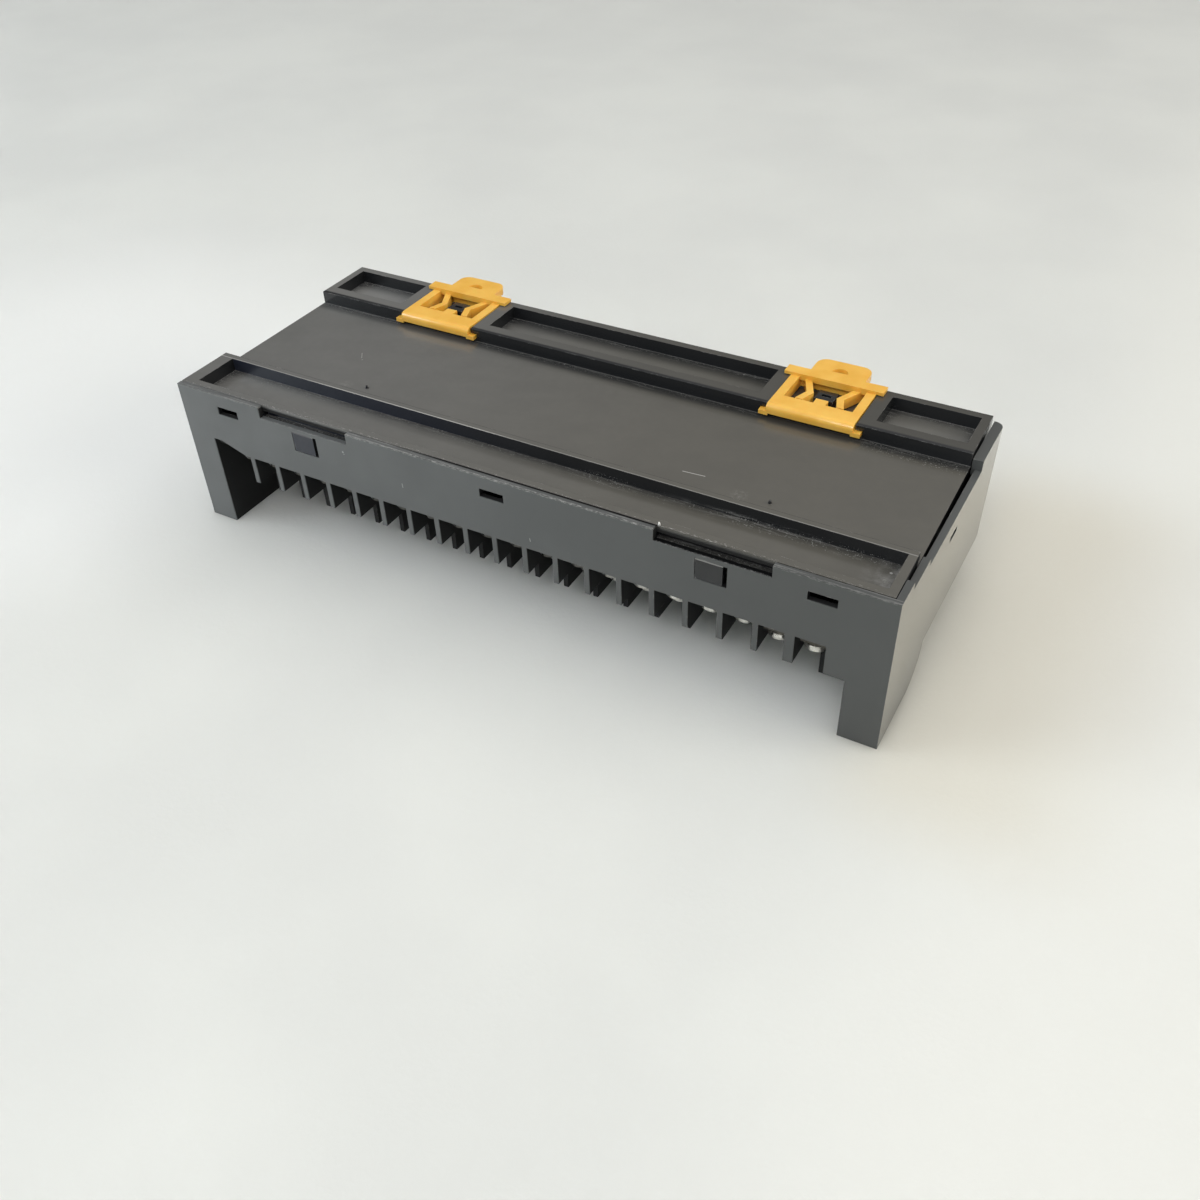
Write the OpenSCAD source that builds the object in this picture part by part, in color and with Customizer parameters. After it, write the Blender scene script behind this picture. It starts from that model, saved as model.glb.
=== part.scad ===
// Interface terminal block for a 35 mm rail, lying with its rail side up.
// It stands on the feet of its end walls and on the mouth of its cable socket.
// X runs along the block, the front wall faces -Y, and +Z points away from the panel side.

/* [Block] */
// Height from the feet to the rims of the rail side
height = 37.5; // [37:0.5:44]
// Thickness of the moulded walls
wall_t = 1.3; // [1.1:0.1:1.8]
// Width of the left end wall
left_leg = 7.6; // [6.5:0.1:10]
// Width of the right end wall
right_leg = 8.4; // [7:0.1:11]
// Skin of the right end wall, which shows beside the rail base
end_skin = 1.5; // [1.2:0.1:2]
// Depth of each foot, with its round
foot_depth = 25.7; // [24:0.1:30]
// Height of the end walls' rear edge over the ground
rear_rise = 8.5; // [7.5:0.1:9]
// Round at the lower back corner
back_round = 4; // [2.5:0.1:5]
// Round of the upright corners at the back
corner_round = 2; // [1:0.1:3]
// How far the back wall's top stands inside the base's back edge
back_inset = 0; // [0:0.1:4]
// How far the back wall's top overhangs its foot
back_overhang = 2.6; // [0:0.1:3]
// Height of the front wall
front_wall_h = 15.3; // [14:0.1:16]

/* [Terminal rows] */
// Terminals in each row
poles = 20; // [8:1:24]
// Distance from terminal to terminal
pitch = 7.62; // [7.4:0.01:9]
// Depth of one row
row_depth = 9.8; // [9.5:0.1:11]
// Height between the two rows
row_step = 9.5; // [9:0.1:10]
// Thickness of a barrier
fin_t = 1.2; // [0.8:0.1:1.4]
// Width of the last barrier's front edge in the lower row
last_fin_t = 2.1; // [1.2:0.1:2.4]
// How far a barrier reaches below the front wall
fin_drop = 7.1; // [6:0.1:8]
// Thickness of a terminal deck
deck_t = 2.2; // [1.6:0.1:2.6]
// Depth of the lower deck above the front wall's edge
deck_recess = 0.5; // [0.2:0.1:1]
// Length of the relief in the front wall's edge at the left
relief_len = 9.3; // [5:0.1:10]
// Level part of that relief, before it slopes down
relief_flat = 2.5; // [1:0.1:4]
// Height of that relief
relief_h = 2.3; // [1:0.1:2.6]

/* [Terminals] */
// Width of a terminal plate
plate_w = 5.8; // [5:0.1:6]
// Thickness of a terminal plate
plate_t = 0.8; // [0.6:0.1:1]
// Width of a terminal's tail
tail_w = 1.6; // [1.2:0.1:2]
// Side of a square washer
washer_w = 5.6; // [5:0.1:5.8]
// Thickness of a square washer
washer_t = 0.6; // [0.5:0.1:0.9]
// Thickness of a spring washer
spring_t = 0.5; // [0.4:0.1:0.7]
// Radius of a terminal screw
screw_r = 1.5; // [1.2:0.05:1.6]
// Radius of a terminal screw's head
head_r = 2.7; // [2.5:0.05:2.8]
// Height of a screw head
head_h = 1.7; // [1.5:0.1:2.2]
// Length of a terminal screw's shank
shank_len = 5.9; // [5.6:0.1:6.4]
// Distance that the last two screws of the lower row are backed out
slack = 1.6; // [0:0.1:2]

/* [Rail base] */
// Thickness of the base plate
base_t = 2.4; // [2:0.1:3]
// Height of the rims over the base plate
rim_h = 3.1; // [2.9:0.1:3.6]
// Depth of the front ledge
front_ledge = 16.6; // [15:0.1:19]
// Width of the rail channel
channel_w = 37; // [36.5:0.1:38]
// Depth of the back ledge
back_ledge = 16.8; // [16.4:0.1:19]
// Gap between the front wall and the base
seam = 0.25; // [0.15:0.05:0.4]
// Gap at the right end, at the front
end_gap_front = 0.15; // [0.1:0.05:0.4]
// Gap at the right end, at the back
end_gap_back = 1.2; // [0.4:0.05:1.3]
// Width of the wide rims of both ledges
wide_rim = 3.6; // [3:0.1:4]
// Width of the rim beside the rail's front edge
hook_rim = 1.6; // [1.4:0.1:2.2]
// Width of the narrow rims of both ledges
narrow_rim = 2; // [1.5:0.1:2.2]
// Depth of the groove that hooks over the rail's edge
hook_depth = 0.9; // [0.6:0.05:1]
// Thickness of the rail's flange
rail_t = 1; // [0.8:0.1:1.2]

/* [Latches and slots] */
// Distance of the front latches from the middle
latch_x = 50.6; // [46:0.1:54]
// Width of a latch window
window_w = 7; // [5:0.1:8]
// Height of a latch window
window_h = 5.1; // [4.4:0.1:5.4]
// Length of a notch in the front wall's edge
notch_len = 25.2; // [16:0.1:28]
// Depth of a notch in the front wall's edge
notch_depth = 2.8; // [1.6:0.1:3]
// Distance of the outer slots from the middle
slot_x = 73.4; // [70:0.1:74]
// Length of a slot
slot_len = 6; // [4:0.1:7]
// Height of a slot
slot_h = 2.1; // [1.2:0.1:2.2]

/* [Rail clips] */
// Distance of the clips from the middle of the base
clip_x = 50.4; // [44:0.1:52]
// Width of a clip's frame
clip_w = 20.4; // [18:0.1:22]
// Width of a clip's side bars
clip_bar = 2.1; // [1.6:0.1:2.4]
// Width of a guide tongue at each side
tongue_w = 1.7; // [1.2:0.1:2.4]
// Thickness of a guide tongue
tongue_t = 1; // [0.8:0.1:1.3]
// Clearance around a clip
clip_gap = 0.2; // [0.15:0.05:0.3]
// How far a clip's lip stands over the channel when it is drawn back
lip_over = 1.3; // [1:0.1:1.8]
// Travel of a clip from open to locked
clip_travel = 2.6; // [2:0.1:2.8]
// Length of a clip's pull tab behind the base
tab_len = 6.1; // [4.5:0.1:8]
// Width of a clip's pull tab
tab_w = 13.2; // [10:0.1:16]

/* [Board and socket] */
// Thickness of the circuit board
board_t = 1.6; // [1.2:0.1:2]
// Height of the cable socket
socket_h = 9.2; // [9:0.1:9.6]
// Width of the cable socket
socket_w = 9; // [8.6:0.1:10]
// Contacts in one row of the socket
contacts = 20; // [8:1:24]
// Distance from contact to contact
contact_pitch = 2.54; // [2.5:0.01:2.6]
// Side of a square contact pin
pin_w = 0.64; // [0.5:0.02:0.7]
// Distance from the front wall to the middle of the socket
socket_y = 42; // [38:0.1:46]
// Side of the posts that hold the board
post_w = 7; // [6.5:0.1:8]

/* [Hidden] */
$fn = 48;
cut = 0.5;

// Lengthwise places
field_w = (poles + 1) * pitch;
length = left_leg + field_w + right_leg;
x_left = -length / 2;
x_right = length / 2;
field_x0 = x_left + left_leg;
field_x1 = field_x0 + field_w;
step_x = field_x1 - (pitch + fin_t) / 2;
base_x1_front = x_right - end_skin - end_gap_front;
base_x1_back = x_right - end_skin - end_gap_back;

// Depths from the front wall
depth = front_ledge + channel_w + back_ledge;
total_depth = depth + tab_len;
base_y0 = wall_t + seam;
back_ledge_y = depth - back_ledge;
riser_y = 2 * row_depth + wall_t;

// Heights over the ground
wall_z = height - front_wall_h;
lower_deck_z = wall_z + deck_recess;
upper_deck_z = lower_deck_z - row_step;
floor_z = height - rim_h;
base_z = floor_z - base_t;
board_z = socket_h;
board_top = board_z + board_t;
lean = atan(back_overhang / (height - rear_rise));

// Terminals
tail_back = 0.6;
tail_rise = 1.4;
tail_clear = 2.4;
tail_stagger = 2.8;
lower_drop_y = riser_y + tail_clear + plate_t;
upper_drop_y = lower_drop_y + tail_stagger;
front_post_y = upper_drop_y + tail_clear / 2 + post_w / 2;
tail_out = 0.5;
fit = 0.2;
pad_front = wall_t + fit;
back_skin_x = base_right(back_ledge_y) + fit;
loose_from = poles - 2;
board_screw_r = screw_r - fit;

// Rail base details
hook_play = 0.4;
hook_h = rail_t + hook_play;
base_mid = (x_left + base_x1_front) / 2;
clip_xs = [base_mid - clip_x, base_mid + clip_x];
window_drop = 0.7;
pocket_gap = clip_w / 2 + wide_rim;
nib_play = 1;
nib_recess = 0.1;
nib_gap = 0.03;
lip_t = 1.6;
arm_t = 1.5;
undercut = 1.3;
rear_window_h = 3.6;
rear_window_drop = 1.2;
rest_w = 4;
rest_d = 1.2;
skin_front_d = 7.5;
skin_front_drop = 1.9;
skin_channel_drop = 3.7;
skin_back_drop = 1.2;
pip_r = 0.5;
pip_h = 0.7;
pip_y = 22.4;
pip_xs = [-49.7, 53.3];
end_slot_y = 35.7;
end_slot_drop = 8.1;
end_slot_z = height - end_slot_drop;
end_slot_len = 4.6;
end_slot_h = 1.4;

// Clip levels and places
clip_z = floor_z + 2 * clip_gap;
clip_proud = 0.3;
clip_top = height + clip_proud;
ear_z = height + clip_gap;
ear_t = 0.8;
tab_t = 1.8;
tongue_rise = 0.7;
tongue_z = floor_z + tongue_rise;
lip_z = floor_z + rail_t + clip_gap;
lip_y = back_ledge_y - lip_over;
front_bar_d = 5.4;
bar_back_y = lip_y + front_bar_d;
crossbar_d = 3.1;
crossbar_inset = 0.1;
crossbar_y = depth - crossbar_d - crossbar_inset;
post_drop = 0.8;
crossbar_z = height - post_drop + clip_gap;
leg_t = 1.7;
stop_w = 2.9;
stop_d = 3;
post_gap = 0.8;
post_y = bar_back_y + stop_d + post_gap;
post_d = 4;
throat_x = 3.6;
leg_root_x = 6.5;
leg_tip_x = 4.9;
throat_in = 0.9;
throat_y = post_y + throat_in;
leg_tip_gap = 1;
leg_tip_y = bar_back_y + leg_tip_gap;
leg_drop = 0.4;
stop_drop = 0.6;
skirt_y = post_y + post_d + clip_travel + clip_gap;
leg_root_y = crossbar_y + crossbar_d / 2;
detent_gap = 0.5;
detent_w = 2 * (throat_x - leg_t / 2 - detent_gap);

// Socket
socket_ends = 7.6;
socket_len = contacts * contact_pitch + socket_ends;
socket_wall = 1.3;
socket_floor = 2.4;
key_w = 4.5;
pin_tip_z = 1.8;
pin_out = 1.4;
pin_hole_r = norm([pin_w, pin_w]) / 2 + fit / 4;

// Places of the repeated pieces
function lower_x(i) = field_x0 + pitch * (i + 1);
function upper_x(i) = field_x0 + pitch * (i + 0.5);
function fin_span(x, t) = [x - t / 2, x + t / 2];
lower_fins = [for (k = [1 : poles - 1]) fin_span(field_x0 + pitch * (k + 0.5), fin_t)];
last_fin_x1 = lower_fins[poles - 2][1];
upper_fins = [for (k = [1 : poles]) fin_span(field_x0 + pitch * k, fin_t)];
board_posts = [
  [field_x0 + post_w / 2, front_post_y],
  [field_x1 - post_w / 2, front_post_y],
  [field_x0 + post_w / 2, board_y1() - post_w / 2 + fit],
  [field_x1 - post_w / 2, board_y1() - post_w / 2 + fit]
];

// The back wall leans, so its distance from the front wall depends on the height
function back_y(z) = depth - back_inset - back_overhang * (height - z) / (height - rear_rise);
function board_y1() = back_y(rear_rise) - back_round - fit;

// The base's right end slants, so its place depends on the distance from the front wall
function base_right(y) = base_x1_front + (base_x1_back - base_x1_front) * (y - base_y0) / (depth - base_y0);

// A slab that lies across X, drawn from its outline in depth and height
module across(x0, x1) {
  translate([x0, 0, 0])
    rotate([90, 0, 90])
      linear_extrude(height = x1 - x0)
        children();
}

// A box from its low corner to its high corner
module span(low, high) {
  translate(low)
    cube(high - low);
}

// Outline of the rear shell: open above, with a leaning back and a round corner
module rear_outline(top_z, inset) {
  round_r = back_round - inset;
  low_y = back_y(rear_rise + back_round) - inset;
  polygon([
    [0, rear_rise + back_round], [low_y, rear_rise + back_round],
    [back_y(top_z) - inset, top_z], [0, top_z]
  ]);
  translate([0, rear_rise + inset])
    square([low_y - round_r, round_r]);
  translate([low_y - round_r, rear_rise + back_round])
    intersection() {
      circle(r = round_r);
      translate([0, -round_r])
        square(round_r);
    }
}

// Outline of an end wall: a foot at the front with a round back edge, and the rear shell
module end_outline(top_z) {
  flat = foot_depth - rear_rise;
  rear_outline(top_z, 0);
  square([flat, rear_rise + cut]);
  translate([flat, rear_rise])
    intersection() {
      circle(r = rear_rise);
      translate([0, -rear_rise])
        square(rear_rise);
    }
}

// Hollow of an end wall, open to the rail base
module end_core_outline() {
  translate([wall_t, wall_t])
    square([foot_depth - rear_rise - wall_t, base_z]);
  intersection() {
    rear_outline(base_z + cut, wall_t);
    translate([wall_t, 0])
      square([depth, height]);
  }
}

// The right end wall's skin rises beside the base, in steps
module end_skin_outline() {
  end_outline(height - skin_channel_drop);
  square([skin_front_d, height]);
  square([front_ledge + wall_t, height - skin_front_drop]);
}

// The skin's last step, beside the back ledge
module back_skin_outline() {
  intersection() {
    end_outline(height - skin_back_drop);
    translate([back_ledge_y, 0])
      square([depth, height]);
  }
}

// What the round takes off an upright corner at the back, at the +X side of x
module corner_waste(x) {
  translate([x, back_y(height) - corner_round / cos(lean), height])
    rotate([-lean, 0, 0])
      translate([0, 0, -height])
        difference() {
          cube([corner_round + cut, corner_round + cut, height + cut]);
          translate([0, 0, -cut])
            cylinder(r = corner_round, h = height + 3 * cut);
        }
}

// A deck with the barriers that hang below it, seen from the front
module comb_outline(deck_z, fins, fin_z) {
  polygon(concat(
    [[field_x0, deck_z + deck_t], [field_x0, deck_z]],
    [for (f = fins) each [[f[0], deck_z], [f[0], fin_z], [f[1], fin_z], [f[1], deck_z]]],
    [[field_x1, deck_z], [field_x1, deck_z + deck_t]]
  ));
}

// One row of cells, from its front to its back
module row_comb(y0, deck_z, fins, fin_z) {
  translate([0, y0 + row_depth, 0])
    rotate([90, 0, 0])
      linear_extrude(height = row_depth)
        comb_outline(deck_z, fins, fin_z);
}

// Openings in a deck for the screws and the tails of one row
module row_openings(y0, deck_z, centres) {
  for (x = centres) {
    translate([x, y0 + row_depth / 2, deck_z - cut])
      cylinder(r = screw_r + fit, h = deck_t + 2 * cut);
    span([x - tail_w / 2 - fit, tail_y(y0) - fit, deck_z - cut],
         [x + tail_w / 2 + fit, tail_y(y0) + plate_t + fit, deck_z + deck_t + cut]);
  }
}

function tail_y(y0) = y0 + row_depth - tail_back - plate_t;

// The two end walls with their hollows
module end_walls() {
  difference() {
    union() {
      across(x_left, field_x0) end_outline(base_z);
      across(field_x1, x_right - end_skin) end_outline(base_z);
      across(x_right - end_skin, x_right) end_skin_outline();
      across(back_skin_x, x_right) back_skin_outline();
    }
    across(x_left + wall_t, field_x0 - wall_t) end_core_outline();
    across(field_x1 + wall_t, x_right - end_skin) end_core_outline();
    span([x_right - end_skin - cut, end_slot_y - end_slot_len / 2, end_slot_z - end_slot_h / 2],
         [x_right + cut, end_slot_y + end_slot_len / 2, end_slot_z + end_slot_h / 2]);
    corner_waste(x_right - corner_round);
    mirror([1, 0, 0])
      corner_waste(x_right - corner_round);
  }
}

// The front wall with its slots, latch windows and edge notches
module front_wall() {
  translate([0, wall_t, 0])
    rotate([90, 0, 0])
      linear_extrude(height = wall_t)
        difference() {
          translate([x_left, wall_z])
            square([length, front_wall_h]);
          for (x = [-slot_x, 0, slot_x])
            translate([x - slot_len / 2, slot_z() - slot_h / 2])
              square([slot_len, slot_h]);
          for (x = [-latch_x, latch_x]) {
            translate([x - window_w / 2, window_z()])
              square([window_w, window_h]);
            translate([x - notch_len / 2, height - notch_depth])
              square([notch_len, notch_depth + cut]);
          }
        }
}

// Relief in the front wall's lower edge, which slopes down to the first barrier
module front_relief() {
  translate([field_x0, wall_t, wall_z])
    rotate([90, 0, 0])
      linear_extrude(height = wall_t + cut)
        polygon([[0, -cut], [relief_len, -cut], [relief_len, 0], [relief_flat, relief_h], [0, relief_h]]);
}

function slot_z() = floor_z - base_t / 2;
function window_z() = floor_z - window_drop - window_h;

// The back wall, open between its lip and the base
module back_wall() {
  difference() {
    across(field_x0 - cut, field_x1 + cut)
      difference() {
        rear_outline(base_z, 0);
        rear_outline(base_z + cut, wall_t);
        square([board_y1() + fit, base_z + cut]);
      }
    for (x = [-latch_x, latch_x])
      span([x - window_w / 2, board_y1(), rear_window_z()],
           [x + window_w / 2, depth, rear_window_z() + rear_window_h]);
  }
}

function rear_window_z() = base_z - rear_window_drop - rear_window_h;

// Posts for the board's screws
module board_post_solids() {
  difference() {
    for (p = board_posts)
      span([p[0] - post_w / 2, p[1] - post_w / 2, board_top], [p[0] + post_w / 2, p[1] + post_w / 2, base_z]);
    for (p = board_posts)
      translate([p[0], p[1], board_top - cut])
        cylinder(r = board_screw_r + fit / 2, h = shank_len + 2 * cut);
  }
}

module housing() {
  color([0.09, 0.09, 0.1])
    difference() {
      union() {
        end_walls();
        front_wall();
        back_wall();
        board_post_solids();
        row_comb(0, lower_deck_z, lower_fins, wall_z - fin_drop);
        row_comb(row_depth, upper_deck_z, upper_fins, wall_z - fin_drop - row_step);
        // Wide front edge of the lower row's last barrier
        span([last_fin_x1 - last_fin_t, 0, wall_z - fin_drop], [last_fin_x1, wall_t, lower_deck_z]);
        // Right blank of the lower row, half a pitch wide
        span([step_x, 0, wall_z - fin_drop], [field_x1, row_depth, lower_deck_z]);
        // Riser between the rows, and the one behind the upper row
        span([field_x0, row_depth, upper_deck_z], [field_x1, row_depth + wall_t, lower_deck_z + deck_t]);
        span([field_x0, 2 * row_depth, rear_rise], [field_x1, riser_y, upper_deck_z + deck_t]);
        // Ribs that carry the base behind the front wall
        for (x = [-slot_x + slot_len, -latch_x / 2, latch_x / 2, slot_x - slot_len])
          span([x - rest_w / 2, 0, lower_deck_z], [x + rest_w / 2, wall_t + rest_d, base_z]);
      }
      front_relief();
      row_openings(0, lower_deck_z, [for (i = [0 : poles - 1]) lower_x(i)]);
      row_openings(row_depth, upper_deck_z, [for (i = [0 : poles - 1]) upper_x(i)]);
    }
}

// Outline of a tail in depth and height, from its plate through the deck and down to the board
module tail_outline(y0, deck_z, drop_y) {
  y1 = tail_y(y0);
  run_z = deck_z + deck_t + tail_rise;
  polygon([
    [y1, deck_z - plate_t], [y1 + plate_t, deck_z - plate_t], [y1 + plate_t, run_z - plate_t],
    [drop_y - plate_t, run_z - plate_t], [drop_y - plate_t, board_z - tail_out],
    [drop_y, board_z - tail_out], [drop_y, run_z], [y1, run_z]
  ]);
}

module terminal_plate(x, y0, deck_z, drop_y) {
  across(x - tail_w / 2, x + tail_w / 2)
    tail_outline(y0, deck_z, drop_y);
  difference() {
    span([x - plate_w / 2, y0 + pad_front, deck_z - plate_t],
         [x + plate_w / 2, tail_y(y0) + plate_t, deck_z]);
    translate([x, y0 + row_depth / 2, deck_z - plate_t - cut])
      cylinder(r = screw_r + fit / 2, h = plate_t + 2 * cut);
  }
}

module square_washer(x, y0, top_z) {
  translate([x, y0 + row_depth / 2, top_z - washer_t])
    difference() {
      translate([-washer_w / 2, -washer_w / 2, 0])
        cube([washer_w, washer_w, washer_t]);
      translate([0, 0, -cut])
        cylinder(r = screw_r + fit / 2, h = washer_t + 2 * cut);
    }
}

// A spring washer is a ring with a slit
module spring_washer(x, y0, top_z) {
  ring_r = head_r - fit;
  translate([x, y0 + row_depth / 2, top_z - spring_t])
    difference() {
      cylinder(r = ring_r, h = spring_t);
      translate([0, 0, -cut])
        cylinder(r = screw_r + fit / 2, h = spring_t + 2 * cut);
      rotate(35)
        translate([0, -fit / 2, -cut])
          cube([ring_r + cut, fit, spring_t + 2 * cut]);
    }
}

// A cross-head screw that points up; its head hangs below seat_z
module terminal_screw(x, y, seat_z, shank, shank_r) {
  bevel = 0.4;
  shoulder_r = head_r - 0.65;
  cross_w = 0.8;
  cross_len = 1.5 * shoulder_r;
  translate([x, y, seat_z])
    difference() {
      union() {
        cylinder(r = shank_r, h = shank);
        rotate_extrude()
          polygon([[0, 0], [head_r, 0], [head_r, bevel - head_h], [shoulder_r, -head_h], [0, -head_h]]);
      }
      for (turn = [0, 90])
        rotate(turn + 20)
          translate([-cross_len / 2, -cross_w / 2, -head_h - cut])
            cube([cross_len, cross_w, cut + head_h / 2]);
    }
}

function backed_out(i) = i >= loose_from ? slack : 0;
function washer_top(deck_z) = deck_z - plate_t;
function spring_top(deck_z) = washer_top(deck_z) - washer_t;
function head_seat(deck_z) = spring_top(deck_z) - spring_t;

module lower_terminal_plates() {
  color([0.78, 0.74, 0.62])
    for (i = [0 : poles - 1])
      terminal_plate(lower_x(i), 0, lower_deck_z, lower_drop_y);
}

module lower_square_washers() {
  color([0.82, 0.82, 0.8])
    for (i = [0 : poles - 1])
      square_washer(lower_x(i), 0, washer_top(lower_deck_z) - backed_out(i));
}

module lower_spring_washers() {
  color([0.7, 0.7, 0.7])
    for (i = [0 : poles - 1])
      spring_washer(lower_x(i), 0, spring_top(lower_deck_z) - backed_out(i));
}

module lower_terminal_screws() {
  color([0.84, 0.84, 0.82])
    for (i = [0 : poles - 1])
      terminal_screw(lower_x(i), row_depth / 2, head_seat(lower_deck_z) - backed_out(i), shank_len, screw_r);
}

module upper_terminal_plates() {
  color([0.78, 0.74, 0.62])
    for (i = [0 : poles - 1])
      terminal_plate(upper_x(i), row_depth, upper_deck_z, upper_drop_y);
}

module upper_square_washers() {
  color([0.82, 0.82, 0.8])
    for (i = [0 : poles - 1])
      square_washer(upper_x(i), row_depth, washer_top(upper_deck_z));
}

module upper_spring_washers() {
  color([0.7, 0.7, 0.7])
    for (i = [0 : poles - 1])
      spring_washer(upper_x(i), row_depth, spring_top(upper_deck_z));
}

module upper_terminal_screws() {
  color([0.84, 0.84, 0.82])
    for (i = [0 : poles - 1])
      terminal_screw(upper_x(i), 1.5 * row_depth, head_seat(upper_deck_z), shank_len, screw_r);
}

// The base as a whole plate, with its slanting right end
module base_plate() {
  translate([0, 0, base_z])
    linear_extrude(height = height - base_z)
      polygon([[x_left, base_y0], [base_x1_front, base_y0], [base_x1_back, depth], [x_left, depth]]);
}

// Pockets that leave the rims of both ledges
module ledge_pockets() {
  edges = [for (x = clip_xs) each [x - pocket_gap, x + pocket_gap]];
  span([x_left + wide_rim, base_y0 + narrow_rim, floor_z],
       [base_x1_front - narrow_rim, front_ledge - hook_rim, height + cut]);
  for (e = [[x_left + narrow_rim, edges[0]], [edges[1], edges[2]], [edges[3], base_x1_back - narrow_rim]])
    span([e[0], back_ledge_y + wide_rim, floor_z], [e[1], depth - narrow_rim, height + cut]);
}

// Room for one clip: its frame, and its tongues in grooves under the ledge
module clip_room(x) {
  span([x - clip_w / 2 - clip_gap, back_ledge_y - cut, floor_z],
       [x + clip_w / 2 + clip_gap, depth + cut, height + cut]);
  span([x - clip_w / 2 - tongue_w - clip_gap, back_ledge_y - cut, tongue_z - clip_gap],
       [x + clip_w / 2 + tongue_w + clip_gap, crossbar_y + clip_gap, tongue_z + tongue_t + clip_gap]);
}

// A post that a clip's spring legs snap past, with a slit across its head
module detent_post(x) {
  slit = 0.9;
  slit_depth = 1.2;
  difference() {
    span([x - detent_w / 2, post_y, floor_z - cut], [x + detent_w / 2, post_y + post_d, height - post_drop]);
    span([x - detent_w / 4, post_y + post_d / 2 - slit / 2, height - post_drop - slit_depth],
         [x + detent_w / 4, post_y + post_d / 2 + slit / 2, height]);
  }
}

// A latch at the front: an arm behind the wall and a nib in its window
module front_latch(x) {
  nib_x0 = x - window_w / 2 + nib_gap;
  nib_x1 = x + window_w / 2 - nib_play;
  span([nib_x0, nib_recess, window_z() + nib_gap],
       [nib_x1, base_y0 + arm_t, window_z() + window_h - nib_gap]);
}

// A latch at the back: an arm inside the wall and a nib in its window
module rear_latch(x) {
  nib_w = window_w - 2 * fit;
  inner_y = back_y(base_z - rear_window_drop - rear_window_h) - wall_t - 2 * fit;
  span([x - nib_w / 2, inner_y - arm_t, rear_window_z() + fit], [x + nib_w / 2, inner_y, base_z + cut]);
  span([x - nib_w / 2, inner_y - cut, rear_window_z() + fit],
       [x + nib_w / 2, inner_y + wall_t, rear_window_z() + rear_window_h - fit]);
}

module rail_base() {
  color([0.1, 0.1, 0.11])
    union() {
      difference() {
        base_plate();
        // Channel that a rail lies in
        span([x_left - cut, front_ledge, floor_z], [x_right, back_ledge_y, height + cut]);
        ledge_pockets();
        for (x = clip_xs)
          clip_room(x);
        // Groove that hooks over the rail's front edge
        span([x_left - cut, front_ledge - hook_depth, floor_z],
             [x_right, front_ledge + cut, floor_z + hook_h]);
        // Recesses behind the front wall's slots and notches
        for (x = [-slot_x, 0, slot_x])
          span([x - slot_len / 2, 0, base_z - cut],
               [x + slot_len / 2, base_y0 + narrow_rim, slot_z() + slot_h / 2]);
        for (x = [-latch_x, latch_x])
          span([x - notch_len / 2, 0, floor_z], [x + notch_len / 2, base_y0 + undercut, height - lip_t]);
      }
      for (x = clip_xs)
        detent_post(x);
      for (x = pip_xs)
        translate([x, pip_y, floor_z - cut])
          cylinder(r1 = pip_r, r2 = pip_r / 2, h = cut + pip_h);
      for (x = [-latch_x, latch_x]) {
        front_latch(x);
        rear_latch(x);
      }
    }
}

// Front bar with its rounded lip, as an outline in depth and height
module lip_outline() {
  nose_r = 1.4;
  shoulder_y = lip_y + nose_r;
  difference() {
    polygon([
      [lip_y, lip_z], [back_ledge_y - clip_gap, lip_z], [back_ledge_y - clip_gap, clip_z],
      [bar_back_y, clip_z], [bar_back_y, clip_top], [lip_y, clip_top]
    ]);
    translate([lip_y, clip_top - nose_r])
      square(nose_r);
  }
  translate([shoulder_y, clip_top - nose_r])
    circle(r = nose_r);
}

// One spring leg in plan, at the +X side
module leg_plan() {
  h = leg_t / 2;
  polygon([
    [leg_root_x - h, leg_root_y], [throat_x - h, throat_y], [leg_tip_x - h, leg_tip_y],
    [leg_tip_x + h, leg_tip_y], [throat_x + h, throat_y], [leg_root_x + h, leg_root_y]
  ]);
}

// Pull tab in plan, with round corners and a half-round hole for a screwdriver
module tab_plan() {
  corner_r = 2.6;
  hole_r = 1.9;
  y0 = crossbar_y + crossbar_d - cut;
  hole_gap = 1.2;
  hole_y = crossbar_y + crossbar_d + hole_gap;
  difference() {
    union() {
      translate([-tab_w / 2, y0])
        square([tab_w, total_depth - y0 - corner_r]);
      translate([-tab_w / 2 + corner_r, y0])
        square([tab_w - 2 * corner_r, total_depth - y0]);
      for (side = [-1, 1])
        translate([side * (tab_w / 2 - corner_r), total_depth - corner_r])
          circle(r = corner_r);
    }
    translate([0, hole_y])
      difference() {
        circle(r = hole_r);
        translate([-hole_r, -2 * hole_r])
          square(2 * hole_r);
      }
  }
}

module clip() {
  half = clip_w / 2;
  color([0.95, 0.62, 0.1])
    union() {
      across(-half, half) lip_outline();
      for (side = [0, 1])
        mirror([side, 0, 0]) {
          span([half - clip_bar, bar_back_y - cut, clip_z], [half, crossbar_y + crossbar_d, clip_top]);
          span([half - cut, lip_y, tongue_z],
               [half + tongue_w, crossbar_y - clip_travel, tongue_z + tongue_t]);
          translate([0, 0, clip_z])
            linear_extrude(height = clip_top - clip_z - leg_drop)
              leg_plan();
        }
      // Stop in the middle of the front bar
      span([-stop_w / 2, bar_back_y - cut, clip_z], [stop_w / 2, bar_back_y + stop_d, clip_top - stop_drop]);
      // Crossbar at the back, which passes over the post, with an ear over the ledge at each side
      span([-half, crossbar_y, crossbar_z], [half, crossbar_y + crossbar_d, ear_z + ear_t]);
      span([-half, skirt_y, clip_z], [half, crossbar_y + crossbar_d, ear_z]);
      span([-half - tongue_w, crossbar_y, ear_z], [half + tongue_w, crossbar_y + crossbar_d, ear_z + ear_t]);
      translate([0, 0, ear_z + ear_t - tab_t])
        linear_extrude(height = tab_t)
          tab_plan();
    }
}

module clip_left() {
  translate([clip_xs[0], 0, 0])
    clip();
}

module clip_right() {
  translate([clip_xs[1], 0, 0])
    clip();
}

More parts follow.
